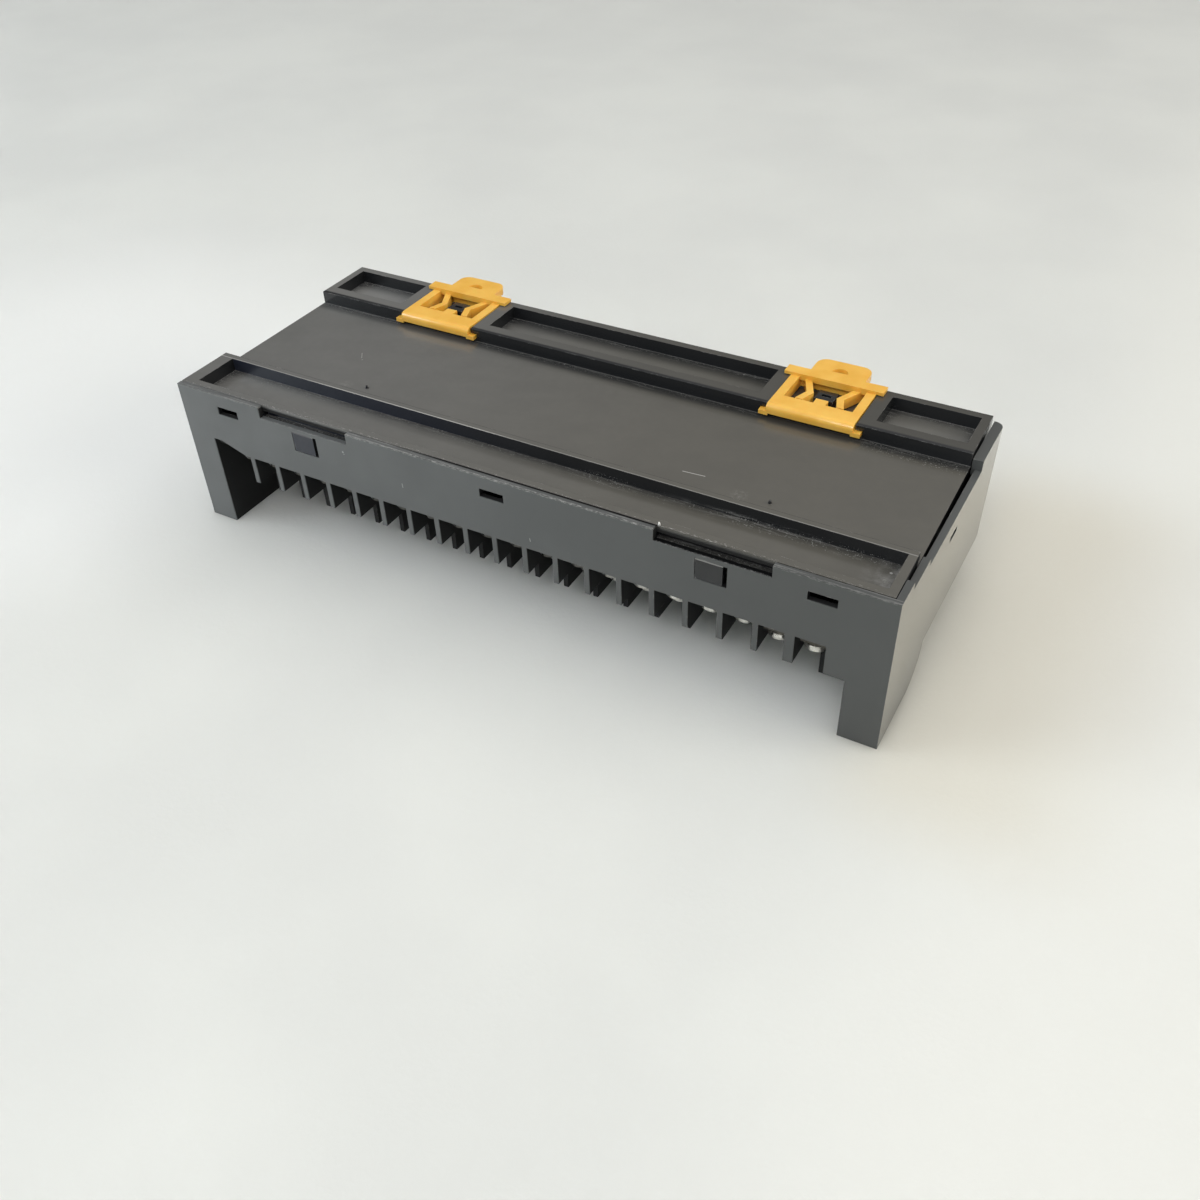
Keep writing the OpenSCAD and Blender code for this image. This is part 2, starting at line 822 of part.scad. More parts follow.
// Place of a contact in both rows of the socket
function contact_x(i) = (i - (contacts - 1) / 2) * contact_pitch;

module circuit_board() {
  color([0.1, 0.35, 0.2])
    translate([0, 0, board_z])
      linear_extrude(height = board_t)
        difference() {
          translate([field_x0 + fit, riser_y + fit])
            square([field_w - 2 * fit, board_y1() - riser_y - fit]);
          for (p = board_posts)
            translate(p)
              circle(r = screw_r + fit);
          for (i = [0 : poles - 1]) {
            translate([lower_x(i), lower_drop_y - plate_t / 2])
              circle(r = norm([tail_w, plate_t]) / 2 + fit / 2);
            translate([upper_x(i), upper_drop_y - plate_t / 2])
              circle(r = norm([tail_w, plate_t]) / 2 + fit / 2);
          }
          for (i = [0 : contacts - 1])
            for (side = [-1, 1])
              translate([contact_x(i), socket_y + side * contact_pitch / 2])
                circle(r = pin_hole_r);
        }
}

module board_screws() {
  color([0.75, 0.75, 0.74])
    for (p = board_posts)
      terminal_screw(p[0], p[1], board_z, shank_len + board_t, board_screw_r);
}

module socket_shroud() {
  inner_len = socket_len - 2 * socket_wall;
  inner_w = socket_w - 2 * socket_wall;
  color([0.12, 0.12, 0.13])
    translate([0, socket_y, 0])
      difference() {
        translate([-socket_len / 2, -socket_w / 2, 0])
          cube([socket_len, socket_w, socket_h]);
        translate([-inner_len / 2, -inner_w / 2, -cut])
          cube([inner_len, inner_w, socket_h - socket_floor + cut]);
        // Key slot in the back wall
        translate([-key_w / 2, 0, -cut])
          cube([key_w, socket_w, socket_h - socket_floor + cut]);
        for (i = [0 : contacts - 1])
          for (side = [-1, 1])
            translate([contact_x(i) - pin_w / 2, side * contact_pitch / 2 - pin_w / 2, 0])
              cube([pin_w, pin_w, socket_h + cut]);
      }
}

module contact_row(y) {
  color([0.85, 0.68, 0.3])
    for (i = [0 : contacts - 1])
      span([contact_x(i) - pin_w / 2, y - pin_w / 2, pin_tip_z],
           [contact_x(i) + pin_w / 2, y + pin_w / 2, board_top + pin_out]);
}

module socket_pins_front() {
  contact_row(socket_y - contact_pitch / 2);
}

module socket_pins_rear() {
  contact_row(socket_y + contact_pitch / 2);
}

// The block is centred in depth with the pull tabs counted in
module placed() {
  translate([0, -total_depth / 2, 0])
    children();
}

placed() housing();
placed() rail_base();
placed() clip_left();
placed() clip_right();
placed() circuit_board();
placed() board_screws();
placed() socket_shroud();
placed() socket_pins_front();
placed() socket_pins_rear();
placed() lower_terminal_plates();
placed() lower_square_washers();
placed() lower_spring_washers();
placed() lower_terminal_screws();
placed() upper_terminal_plates();
placed() upper_square_washers();
placed() upper_spring_washers();
placed() upper_terminal_screws();
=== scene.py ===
"""Looks of the interface terminal block: finishes, softened edges, small wear, light and camera.

Lengths are in millimetres, except where a comment says metres. Colours are linear RGB.
"""

from math import cos, pi, radians, sin

import bmesh
import bpy
from mathutils import Matrix, Vector

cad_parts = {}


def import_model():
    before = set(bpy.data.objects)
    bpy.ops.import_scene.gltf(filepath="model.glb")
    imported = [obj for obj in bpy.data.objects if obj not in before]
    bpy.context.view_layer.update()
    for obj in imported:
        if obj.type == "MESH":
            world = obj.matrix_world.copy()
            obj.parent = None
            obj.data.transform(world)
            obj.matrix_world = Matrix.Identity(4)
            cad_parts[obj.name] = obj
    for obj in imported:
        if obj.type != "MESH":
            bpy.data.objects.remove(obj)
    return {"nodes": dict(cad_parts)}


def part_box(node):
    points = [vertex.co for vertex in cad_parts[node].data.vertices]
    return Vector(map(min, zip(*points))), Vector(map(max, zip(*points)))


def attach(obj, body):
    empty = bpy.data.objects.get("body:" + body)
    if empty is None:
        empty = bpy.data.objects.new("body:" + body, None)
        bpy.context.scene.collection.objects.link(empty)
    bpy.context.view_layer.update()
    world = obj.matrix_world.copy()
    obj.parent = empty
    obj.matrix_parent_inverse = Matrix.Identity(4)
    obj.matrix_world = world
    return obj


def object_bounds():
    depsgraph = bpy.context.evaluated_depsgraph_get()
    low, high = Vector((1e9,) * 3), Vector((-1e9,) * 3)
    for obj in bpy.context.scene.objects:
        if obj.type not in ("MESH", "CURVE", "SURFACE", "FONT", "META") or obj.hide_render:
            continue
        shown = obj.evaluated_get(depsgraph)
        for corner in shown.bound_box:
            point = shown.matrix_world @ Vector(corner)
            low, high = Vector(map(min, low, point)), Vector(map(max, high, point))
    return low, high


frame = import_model()
cad_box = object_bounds()
scene = bpy.context.scene

MM = 0.001
UP, FORWARD, RIGHT = (0, 0, 1), (0, -1, 0), (1, 0, 0)

# Stretch of the noise for lines drawn along each axis
ALONG_X, ALONG_Y, ALONG_Z = (0.2, 1, 1), (1, 0.2, 1), (1, 1, 0.15)

# The camera, solved from the photo
EYE = Vector((122.75, -202.82, 176.19)) * MM
AIM = Vector((28.78, -43.73, 20)) * MM
ROLL = radians(-2.111)
LENS = 35.577
SENSOR = 36

# Terminals, as the solder and the board's traces follow them
PITCH = 7.62
POLES = 20
PLATE_WIDTH, PLATE_THICKNESS = 5.8, 0.8

# The base's floors lie this far under its ledges
POCKET_DEPTH = 3.1
# From the base's back: front of the back ledge, and rear wall of its pockets
BACK_LEDGE, BACK_WALL = 16.8, 2
# From the base's front: rear of the front ledge, rear wall of its pocket, and front edge behind the nibs
FRONT_LEDGE, HOOK, BASE_EDGE = 16, 14.9, 1.45
# The seam between front wall and base, from the front of each
HOUSING_SEAM, BASE_SEAM = 1.42, 1.32
# Where the back ledge's end pockets set in, along x
LEFT_POCKET, RIGHT_POCKET = (-55, -68), (55, 68)

# What counts as one point, as one flat face and as an edge to round
WELD_WITHIN = 0.001
FLAT_WITHIN, SHARP_FROM = radians(0.5), radians(40)

# Rays of the corner and edge masks, and the colour sockets of the mix node
CORNER_RAYS = 6
MIX_FACTOR, MIX_A, MIX_B, MIX_RESULT = 0, 6, 7, 2

# Colours of the mouldings
# Near black for painted shade in the seam between front wall and base, and under the base's lip
PAINTED_SHADE_BLACK = (0.003, 0.003, 0.003)
# Dust film of the housing's front; its fall from left to right is painted reflection
HOUSING_FILM_REFLECTION_LEFT, HOUSING_FILM_REFLECTION_RIGHT = (0.125, 0.133, 0.135), (0.074, 0.078, 0.077)
HOUSING_CLOUD = (0.055, 0.058, 0.059)
HOUSING_TOP = (0.045, 0.047, 0.047)
HOUSING_INSIDE = (0.006, 0.0063, 0.0067)
# Pale of dust and a painted reflection of the floor on the right end wall
HOUSING_END_DUST_AND_REFLECTION = (0.25, 0.24, 0.21)
HOUSING_SCUFF = (0.43, 0.43, 0.42)
BASE_DARK, BASE_LIGHT = (0.013, 0.014, 0.0155), (0.0155, 0.0167, 0.0183)
# Painted blue-grey sheen on the base's forward-facing faces
BASE_BLUE_SHEEN = (0.019, 0.0225, 0.034)
BASE_DUST_LEFT, BASE_DUST_RIGHT = (0.139, 0.138, 0.133), (0.098, 0.093, 0.08)
BASE_THICK_DUST = (0.2, 0.2, 0.195)
# Pale of scuffs and dust, also used for a painted highlight along the hook's edge
BASE_SCUFF_AND_HIGHLIGHT = (0.43, 0.425, 0.41)
CLIP_DEEP, CLIP_LIGHT = (0.8, 0.425, 0.05), (0.87, 0.505, 0.085)
# Deep orange for painted shade in the clip's corners
CLIP_CORNER_SHADE, CLIP_WORN = (0.42, 0.17, 0.01), (0.95, 0.66, 0.22)
SOCKET_DARK, SOCKET_LIGHT = (0.014, 0.014, 0.015), (0.024, 0.024, 0.025)
SOCKET_WORN = (0.2, 0.2, 0.2)
TORN_ROOT, TORN_TIP = (0.16, 0.16, 0.155), (0.75, 0.75, 0.73)

# Colours of the board, of painted shade on the screws and of the floor
RESIST_DARK, RESIST_LIGHT = (0.012, 0.085, 0.036), (0.018, 0.11, 0.048)
TRACE_GREEN = (0.035, 0.2, 0.085)
SCREW_SHADE = (0.04, 0.038, 0.036)
FLOOR_DARK, FLOOR_LIGHT = (0.655, 0.667, 0.65), (0.7, 0.713, 0.69)
# Painted light on the floor: brighter at the far left and right, warmer beside the right end wall
FLOOR_LEFT_PAINTED_LIGHT, FLOOR_RIGHT_PAINTED_LIGHT = (0.785, 0.797, 0.785), (0.73, 0.738, 0.71)
FLOOR_WARM_PAINTED_LIGHT = (0.67, 0.656, 0.592)

# The floor's half length in metres, and how far it lies under the feet
FLOOR_REACH = 3
FLOOR_GAP = 0.02

# The sky's levels below and above two elevations
SKY_COLOUR = (1.0, 0.99, 0.97, 1.0)
SKY_ELEVATIONS = (radians(26), radians(39))
SKY_LEVELS = (0.135, 0.75)


def box_mm(node):
    """Lowest and highest corner of a CAD node."""
    low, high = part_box(node)
    return Vector(low) / MM, Vector(high) / MM


def put(name, data):
    """A new object in the scene."""
    made = bpy.data.objects.new(name, data)
    scene.collection.objects.link(made)
    return made


def make_camera():
    data = bpy.data.cameras.new("photo_camera")
    data.sensor_fit = "HORIZONTAL"
    data.sensor_width = SENSOR
    data.lens = LENS
    data.clip_start = 10 * MM
    camera = put("photo_camera", data)
    turn = (AIM - EYE).to_track_quat("-Z", "Y").to_matrix() @ Matrix.Rotation(ROLL, 3, "Z")
    camera.matrix_world = Matrix.Translation(EYE) @ turn.to_4x4()
    scene.camera = camera


class Finish:
    """A node material whose coordinates are millimetres in the model's frame."""

    def __init__(self, name):
        self.material = bpy.data.materials.new(name)
        self.material.use_nodes = True
        self.tree = self.material.node_tree
        self.shader = self.tree.nodes["Principled BSDF"]
        place = self.add("ShaderNodeTexCoord").outputs["Object"]
        self.mm = self.vector("SCALE", place, scale=1 / MM)
        apart = self.add("ShaderNodeSeparateXYZ")
        self.feed(apart.inputs[0], self.mm)
        self.x, self.y, self.z = apart.outputs

    def add(self, kind, **settings):
        node = self.tree.nodes.new(kind)
        for key, value in settings.items():
            setattr(node, key, value)
        return node

    def feed(self, socket, value):
        if isinstance(value, bpy.types.NodeSocket):
            self.tree.links.new(value, socket)
        else:
            socket.default_value = value

    def math(self, operation, a, b=0.0):
        node = self.add("ShaderNodeMath", operation=operation)
        self.feed(node.inputs[0], a)
        self.feed(node.inputs[1], b)
        return node.outputs[0]

    def plus(self, a, b):
        return self.math("ADD", a, b)

    def times(self, *values):
        total = values[0]
        for value in values[1:]:
            total = self.math("MULTIPLY", total, value)
        return total

    def most(self, *values):
        total = values[0]
        for value in values[1:]:
            total = self.math("MAXIMUM", total, value)
        return total

    def less(self, mask, share):
        """1 outside a mask, and lower by the share inside it."""
        return self.math("SUBTRACT", 1.0, self.times(mask, share))

    def strongest(self, *weighted):
        """The strongest of some masks, each given with its strength."""
        return self.most(*(self.times(mask, strength) for mask, strength in weighted))

    def vector(self, operation, a, b=(0, 0, 0), scale=1.0):
        node = self.add("ShaderNodeVectorMath", operation=operation)
        self.feed(node.inputs[0], a)
        if operation == "SCALE":
            self.feed(node.inputs["Scale"], scale)
        else:
            self.feed(node.inputs[1], b)
        return node.outputs["Value" if operation in ("DOT_PRODUCT", "DISTANCE") else "Vector"]

    def ramp(self, value, low, high, to_low=0.0, to_high=1.0):
        node = self.add("ShaderNodeMapRange", interpolation_type="SMOOTHSTEP")
        for socket, v in zip(node.inputs, (value, low, high, to_low, to_high)):
            self.feed(socket, v)
        return node.outputs[0]

    def between(self, value, rise, fall):
        """1 between two soft limits, each given by its lower and upper end."""
        return self.times(self.ramp(value, *rise), self.ramp(value, fall[1], fall[0]))

    def noise(self, scale, detail=2.0, roughness=0.5, stretch=(1, 1, 1), shift=(0, 0, 0)):
        """Noise with about scale features in a millimetre."""
        node = self.add("ShaderNodeTexNoise")
        spot = self.vector("ADD", self.vector("MULTIPLY", self.mm, stretch), shift)
        for socket, v in (("Vector", spot), ("Scale", scale), ("Detail", detail), ("Roughness", roughness)):
            self.feed(node.inputs[socket], v)
        return node.outputs["Fac"]

    def mix(self, factor, a, b):
        node = self.add("ShaderNodeMix", data_type="RGBA")
        for index, v in ((MIX_FACTOR, factor), (MIX_A, a), (MIX_B, b)):
            if isinstance(v, tuple):
                v = (*v, 1.0)
            self.feed(node.inputs[index], v)
        return node.outputs[MIX_RESULT]

    def hidden(self, reach, inside=False):
        """1 in a corner and 0 on an open face. Inside, 1 at an outer edge."""
        node = self.add("ShaderNodeAmbientOcclusion", inside=inside, samples=CORNER_RAYS, only_local=True)
        self.feed(node.inputs["Distance"], reach * MM)
        return self.math("SUBTRACT", 1.0, node.outputs["AO"])

    def facing(self, way):
        """1 on faces that look the given way."""
        normal = self.add("ShaderNodeNewGeometry").outputs["True Normal"]
        return self.ramp(self.vector("DOT_PRODUCT", normal, way), 0.8, 0.95)

    def near_top(self, top_z, start=0.4, full=0.2):
        """1 at a top face, fading out within a short way below it."""
        return self.ramp(self.z, top_z - start, top_z - full)

    def spot(self, centre, radius):
        """1 at a small mark, fading out at its ragged rim."""
        away = self.vector("DISTANCE", self.mm, centre)
        ragged = self.plus(away, self.times(self.noise(4), radius))
        return self.ramp(ragged, 1.5 * radius, 0.8 * radius)

    def line(self, start, end, width):
        """1 along a scratch from start to end."""
        start, end = Vector(start), Vector(end)
        run = end - start
        from_start = self.vector("SUBTRACT", self.mm, tuple(start))
        along = self.vector("DOT_PRODUCT", from_start, tuple(run / run.length_squared))
        along = self.math("MINIMUM", self.math("MAXIMUM", along, 0.0), 1.0)
        nearest = self.vector("ADD", self.vector("SCALE", tuple(run), scale=along), tuple(start))
        return self.ramp(self.vector("DISTANCE", self.mm, nearest), width, 0.4 * width)

    def bump(self, height, strength, distance):
        node = self.add("ShaderNodeBump")
        self.feed(node.inputs["Strength"], strength)
        self.feed(node.inputs["Distance"], distance * MM)
        self.feed(node.inputs["Height"], height)
        return node.outputs["Normal"]

    def close(self, colour, roughness, normal, **constants):
        """Feeds the shader, with the values that are the same all over, and gives the material."""
        self.feed(self.shader.inputs["Base Color"], colour)
        self.feed(self.shader.inputs["Roughness"], roughness)
        self.feed(self.shader.inputs["Normal"], normal)
        for name, value in constants.items():
            self.shader.inputs[name.replace("_", " ")].default_value = value
        return self.material


def worn_edges(f, reach=0.45, share=0.5):
    """Outer edges that handling has rubbed pale, in patches."""
    edge = f.ramp(f.hidden(reach, inside=True), 0.3, 0.55)
    bare = 1 - share
    return f.times(edge, f.ramp(f.noise(0.35, 4, 0.65), bare, bare + 0.15))


def scraped_edge(f, edge_y, top_z, width, share):
    """Thin broken scrapes along the front edge of a top face, fewer at the block's ends."""
    near = f.ramp(f.y, edge_y + width, edge_y + 0.7 * width)
    middle = f.between(f.x, (-72, -58), (54, 66))
    bare = 1 - share
    breaks = f.ramp(f.noise(2.4, 6, 0.78, stretch=(0.4, 1.6, 1.6)), bare, bare + 0.09)
    return f.times(f.near_top(top_z), near, f.plus(0.45, f.times(middle, 0.55)), breaks)


def seam_shade(f, seam_y, top_z):
    """Painted shade on both sides of the seam between front wall and base, in the middle of the block."""
    near = f.ramp(f.math("ABSOLUTE", f.math("SUBTRACT", f.y, seam_y)), 0.34, 0.24)
    return f.times(near, f.near_top(top_z, start=0.3), f.between(f.x, (-28, -10), (38, 39)))


def housing_wear(f, low, high, notch):
    """Rubbed edges, scrapes, drawn threads and single marks of the housing, as one mask."""
    marks = f.most(
        f.spot((-39.5, low.y, 32.5), 0.35),
        f.spot((-39.3, low.y, 32.0), 0.2),
        f.line((-23.8, low.y, 28.9), (-23.7, low.y, 27.9), 0.12),
        f.line((8.9, low.y, 25.1), (9.0, low.y, 24.4), 0.12),
    )
    scuffs = f.ramp(f.noise(0.9, 6, 0.75, shift=(40, 7, 3)), 0.66, 0.74)
    threads = f.times(
        f.ramp(f.noise(1, 3, 0.6, stretch=(0.06, 2.6, 2.6)), 0.54, 0.6),
        f.near_top(high.z),
        f.ramp(f.y, low.y + 1.3, low.y + 1.1),
    )
    notch_edge = f.times(
        notch,
        f.ramp(f.y, low.y + 0.5, low.y + 0.3),
        f.ramp(f.noise(2.4, 6, 0.78), 0.48, 0.58),
    )
    return f.strongest(
        (worn_edges(f, share=0.46), 0.5),
        (scraped_edge(f, low.y, high.z, 0.5, 0.52), 0.6),
        (threads, 0.3),
        (marks, 0.8),
        (scuffs, 0.12),
        (notch_edge, 0.3),
    )


def housing_finish():
    """Black plastic, greyed in front by a dust film with painted reflection that fades from left to right,
    dark in the cells, with a smooth right end wall painted pale with dust and a painted reflection of the
    floor.
    """
    low, high = box_mm("housing")
    f = Finish("housing_moulding")
    notch = f.times(
        f.facing(UP),
        f.ramp(f.y, low.y + 3, low.y + 2.5),
        f.between(f.z, (high.z - 3.4, high.z - 3.0), (high.z - 1.0, high.z - 0.6)),
    )
    dusty_notch = f.times(notch, f.ramp(f.x, 10, -10))
    clean_notch = f.times(notch, f.ramp(f.x, -10, 10))
    inside = f.times(
        f.between(f.y, (low.y + 0.15, low.y + 0.3), (low.y + 40, low.y + 45)),
        f.ramp(f.z, high.z - 0.3, high.z - 0.5),
        f.between(f.x, (low.x + 0.3, low.x + 0.5), (high.x - 2.2, high.x - 1.8)),
        f.less(dusty_notch, 0.85),
    )
    end_face = f.times(f.facing(RIGHT), f.ramp(f.x, high.x - 0.5, high.x - 0.3))
    # Dust and a painted reflection of the floor on the right end wall, darker towards the foot where the
    # floor's shade is mirrored
    end_dust_and_reflection = f.times(
        end_face,
        f.ramp(f.z, 2, 26, 0.34, 1.0),
        f.ramp(f.y, low.y, low.y + 45, 0.82, 1.0),
        f.ramp(f.noise(0.16, 5, 0.65), 0.25, 0.75, 0.85, 1.0),
    )
    pale = housing_wear(f, low, high, notch)
    cloud = f.ramp(f.noise(0.06, 3), 0.35, 0.65)

    # Dust film with painted reflection, lighter at the left
    colour = f.mix(f.ramp(f.x, -75, 85), HOUSING_FILM_REFLECTION_LEFT, HOUSING_FILM_REFLECTION_RIGHT)
    colour = f.mix(f.times(cloud, 0.18), colour, HOUSING_CLOUD)
    colour = f.mix(f.times(f.near_top(high.z, start=0.3, full=0.1), 0.4), colour, HOUSING_TOP)
    colour = f.mix(inside, colour, HOUSING_INSIDE)
    colour = f.mix(end_dust_and_reflection, colour, HOUSING_END_DUST_AND_REFLECTION)
    colour = f.mix(pale, colour, HOUSING_SCUFF)
    # Painted shade in the seam
    colour = f.mix(seam_shade(f, low.y + HOUSING_SEAM, high.z), colour, PAINTED_SHADE_BLACK)

    rough = f.plus(f.ramp(f.noise(0.12, 4), 0.3, 0.7, 0.28, 0.36), f.times(pale, 0.3))
    rough = f.most(rough, f.times(inside, 0.75))
    rough = f.times(rough, f.less(clean_notch, 0.84), f.less(end_face, 0.7))
    grain = f.plus(f.times(f.noise(5, 2), 0.5), f.times(f.noise(0.25, 2), 1.2))
    grain = f.times(grain, f.less(end_face, 0.85))
    return f.close(colour, rough, f.bump(grain, 0.12, 0.06), IOR=1.45)


class Base:
    """Places and masks of the rail base that several of its layers share."""

    def __init__(self, f):
        self.low, self.high = low, high = box_mm("rail_base")
        self.floor_z = high.z - POCKET_DEPTH
        self.ledge_y, self.wall_y = high.y - BACK_LEDGE, high.y - BACK_WALL
        self.hook_y = low.y + HOOK
        self.up, self.forward = f.facing(UP), f.facing(FORWARD)
        self.recess = f.times(self.up, f.ramp(f.z, self.floor_z + 0.6, self.floor_z + 0.1))
        self.back_ledge = f.ramp(f.y, self.ledge_y - 0.1, self.ledge_y)
        self.lip = f.times(self.forward, f.ramp(f.y, low.y + 4, low.y + 3.5))
        self.corner = f.ramp(f.hidden(3.5), 0.12, 0.5)
        self.blotches = f.ramp(f.noise(0.28, 5, 0.65, shift=(3, 1, 0)), 0.35, 0.7)


def before(f, face_y, start, full):
    """1 just in front of a wall: it sets in at the distance start and is full from the distance full."""
    return f.between(f.y, (face_y - start, face_y - full), (face_y, face_y + 0.1))


def base_marks(f, floor_z):
    """Single scratches and specks on the floors, placed as in the photo."""
    return f.most(
        f.line((32.4, -13.45, floor_z), (37.4, -13.1, floor_z), 0.16),
        f.times(f.line((-61.5, -2.6, floor_z), (-60.1, -4.6, floor_z), 0.2), 0.3),
        f.times(f.spot((-59.4, -5.3, floor_z), 0.3), 0.3),
        f.spot((30, 30.3, floor_z), 0.3),
        f.spot((27.4, 29.5, floor_z), 0.22),
        f.spot((82.4, -26.4, floor_z), 0.4),
    )


def base_wear_and_highlight(f, base):
    """Scrapes, dust in the corners, pale edges, a painted highlight along the hook's top edge and single
    marks of the base, as one mask.
    """
    low, high, recess, hook_y = base.low, base.high, base.recess, base.hook_y
    edge_y = low.y + BASE_EDGE
    streaks = f.ramp(f.noise(0.9, 5, 0.7, stretch=(0.12, 1.3, 1)), 0.5, 0.68)
    specks = f.ramp(f.noise(2.6, 4, 0.75, shift=(9, 4, 0)), 0.59, 0.65)
    lip_scrapes = f.times(
        base.up,
        scraped_edge(f, edge_y, high.z, 0.45, 0.47),
        f.between(f.x, (38, 39.5), (57, 60)),
    )
    dust = f.times(recess, base.corner, f.most(f.times(streaks, 0.5), specks))
    crumbs = f.times(recess, f.ramp(f.hidden(2.5), 0.3, 0.6), f.ramp(f.noise(0.8, 4, 0.7), 0.5, 0.65))
    hook_foot = f.times(
        f.ramp(f.z, base.floor_z + 1.4, base.floor_z + 0.3),
        f.between(f.y, (hook_y - 3.4, hook_y - 0.4), (hook_y + 0.2, hook_y + 0.3)),
        f.ramp(f.noise(0.05, 2, shift=(17, 0, 0)), 0.4, 0.6),
        f.ramp(f.x, -20, 5),
        f.most(specks, f.times(streaks, 0.4)),
    )
    # Painted highlight along the hook's top edge, strongest from the left to the middle
    hook_edge_highlight = f.times(
        base.up,
        f.near_top(high.z, start=0.6, full=0.3),
        f.between(f.y, (hook_y - 0.1, hook_y), (hook_y + 0.2, hook_y + 0.32)),
        f.most(0.32, f.times(f.between(f.x, (-68, -55), (-15, 5)), 0.8)),
    )
    channel_dust = f.times(recess, specks, f.ramp(f.x, 58, 68), before(f, base.ledge_y, 4.6, 3.4))
    foot_lines = f.times(
        recess,
        f.most(before(f, base.ledge_y, 0.4, 0.2), before(f, base.wall_y, 0.4, 0.2)),
    )
    front_blotches = f.times(
        recess, f.ramp(f.y, low.y + FRONT_LEDGE + 1, low.y + FRONT_LEDGE), base.blotches,
    )
    nib_edge = f.times(
        f.ramp(f.y, low.y + 0.3, low.y + 0.2),
        f.ramp(f.z, base.floor_z - 1.15, base.floor_z - 1.0),
        f.ramp(f.x, -20, 20, 0.4, 1.0),
    )
    smudges = f.times(
        f.most(f.spot((-55.5, -16.6, base.floor_z), 2.2), f.spot((46.6, -16.2, base.floor_z), 2.4)),
        f.ramp(f.noise(1.4, 5, 0.75), 0.42, 0.62),
    )
    return f.strongest(
        (worn_edges(f), 0.42),
        (f.times(base.up, scraped_edge(f, edge_y, high.z, 0.8, 0.45)), 0.75),
        (lip_scrapes, 0.9),
        (dust, 0.5),
        (crumbs, 0.1),
        (hook_foot, 0.8),
        (hook_edge_highlight, 1.0),
        (channel_dust, 0.5),
        (foot_lines, 0.12),
        (f.times(front_blotches, f.ramp(f.x, -72, -82)), 0.04),
        (f.times(front_blotches, f.ramp(f.x, 76, 84)), 0.42),
        (nib_edge, 0.5),
        (smudges, 0.12),
        (base_marks(f, base.floor_z), 0.7),
    )


def base_film(f, base):
    """The film of dust on the floors, ledges and lips, thinned to give painted shade in the corners and a
    painted reflection of the dark walls before them.
    """
    low, high, ledge_y = base.low, base.high, base.ledge_y
    front_ledge = f.times(base.up, f.ramp(f.y, low.y + FRONT_LEDGE + 0.6, low.y + FRONT_LEDGE + 0.2))
    # Painted reflection of the dark ledge and walls, as darker bands on the floors before them
    channel_foot_reflection = f.times(before(f, ledge_y, 3.8, 1.6), f.ramp(f.x, -75, -30, 0.6, 0.95))
    pockets = f.most(
        f.ramp(f.x, *LEFT_POCKET, 0.0, 0.62),
        f.ramp(f.x, *RIGHT_POCKET, 0.0, 0.12),
        f.times(f.between(f.x, (-60, -50), (50, 60)), 0.85),
    )
    pocket_foot_reflection = f.times(before(f, base.wall_y, 5.2, 1.4), pockets)
    film = f.times(
        f.most(base.recess, front_ledge),
        f.ramp(f.noise(0.07, 4, 0.6), 0.2, 0.7, 0.84, 0.94),
        # Painted shade: the film thins in the corners
        f.less(base.corner, 0.75),
        f.plus(0.93, f.times(base.blotches, 0.05)),
        f.less(f.most(channel_foot_reflection, pocket_foot_reflection), 0.72),
    )
    rim = f.times(
        base.up,
        base.back_ledge,
        f.near_top(high.z, start=0.6, full=0.3),
        f.ramp(f.y, ledge_y + 0.6, ledge_y + 1.3),
        f.ramp(f.x, -80, 10, 0.98, 0.62),
        f.ramp(f.x, 20, 80, 1.0, 0.8),
    )
    lip_top = f.times(base.lip, f.near_top(high.z, start=1.0, full=0.3), f.ramp(f.x, -10, 10, 1.0, 0.6))
    return f.most(film, rim, lip_top)


def base_finish():
    """Glossy black plastic under a film of dust, with a painted blue-grey sheen on the left where it looks
    forward.
    """
    f = Finish("base_moulding")
    base = Base(f)
    low, high = base.low, base.high
    pale = base_wear_and_highlight(f, base)
    film = base_film(f, base)
    cloud = f.ramp(f.noise(0.045, 3), 0.35, 0.65)
    # Painted blue-grey sheen on forward-facing faces at the left
    blue_sheen = f.times(base.forward, f.ramp(f.x, 10, -50), f.ramp(f.y, high.y - 20, high.y - 25))
    thick = f.times(
        base.recess,
        base.back_ledge,
        f.most(f.ramp(f.x, *LEFT_POCKET), f.ramp(f.x, *RIGHT_POCKET, 0.0, 0.3)),
    )
    lip_shade = f.times(
        base.lip,
        f.between(f.z, (high.z - 2.6, high.z - 2.4), (high.z - 1.0, high.z - 0.4)),
    )

    dust = f.mix(f.ramp(f.x, -75, 50), BASE_DUST_LEFT, BASE_DUST_RIGHT)
    dust = f.mix(thick, dust, BASE_THICK_DUST)
    colour = f.mix(cloud, BASE_DARK, BASE_LIGHT)
    colour = f.mix(blue_sheen, colour, BASE_BLUE_SHEEN)
    colour = f.mix(film, colour, dust)
    # Scuffs and dust, with a painted highlight along the hook's edge
    colour = f.mix(pale, colour, BASE_SCUFF_AND_HIGHLIGHT)
    # Painted shade in the seam and under the lip
    colour = f.mix(seam_shade(f, low.y + BASE_SEAM, high.z), colour, PAINTED_SHADE_BLACK)
    colour = f.mix(lip_shade, colour, PAINTED_SHADE_BLACK)

    brushed = f.ramp(f.noise(0.5, 4, 0.6, stretch=(0.15, 1, 1)), 0.3, 0.7, 0.15, 0.21)
    rough = f.plus(brushed, f.plus(f.times(film, 0.04), f.times(pale, 0.3)))
    rough = f.most(rough, f.times(lip_shade, 0.75))
    waves = f.noise(0.2, 2, stretch=(0.4, 1, 1))
    grain = f.plus(f.times(f.noise(5, 2), 0.5), f.times(waves, 1.5))
    return f.close(colour, rough, f.bump(grain, 0.12, 0.06), IOR=1.5)


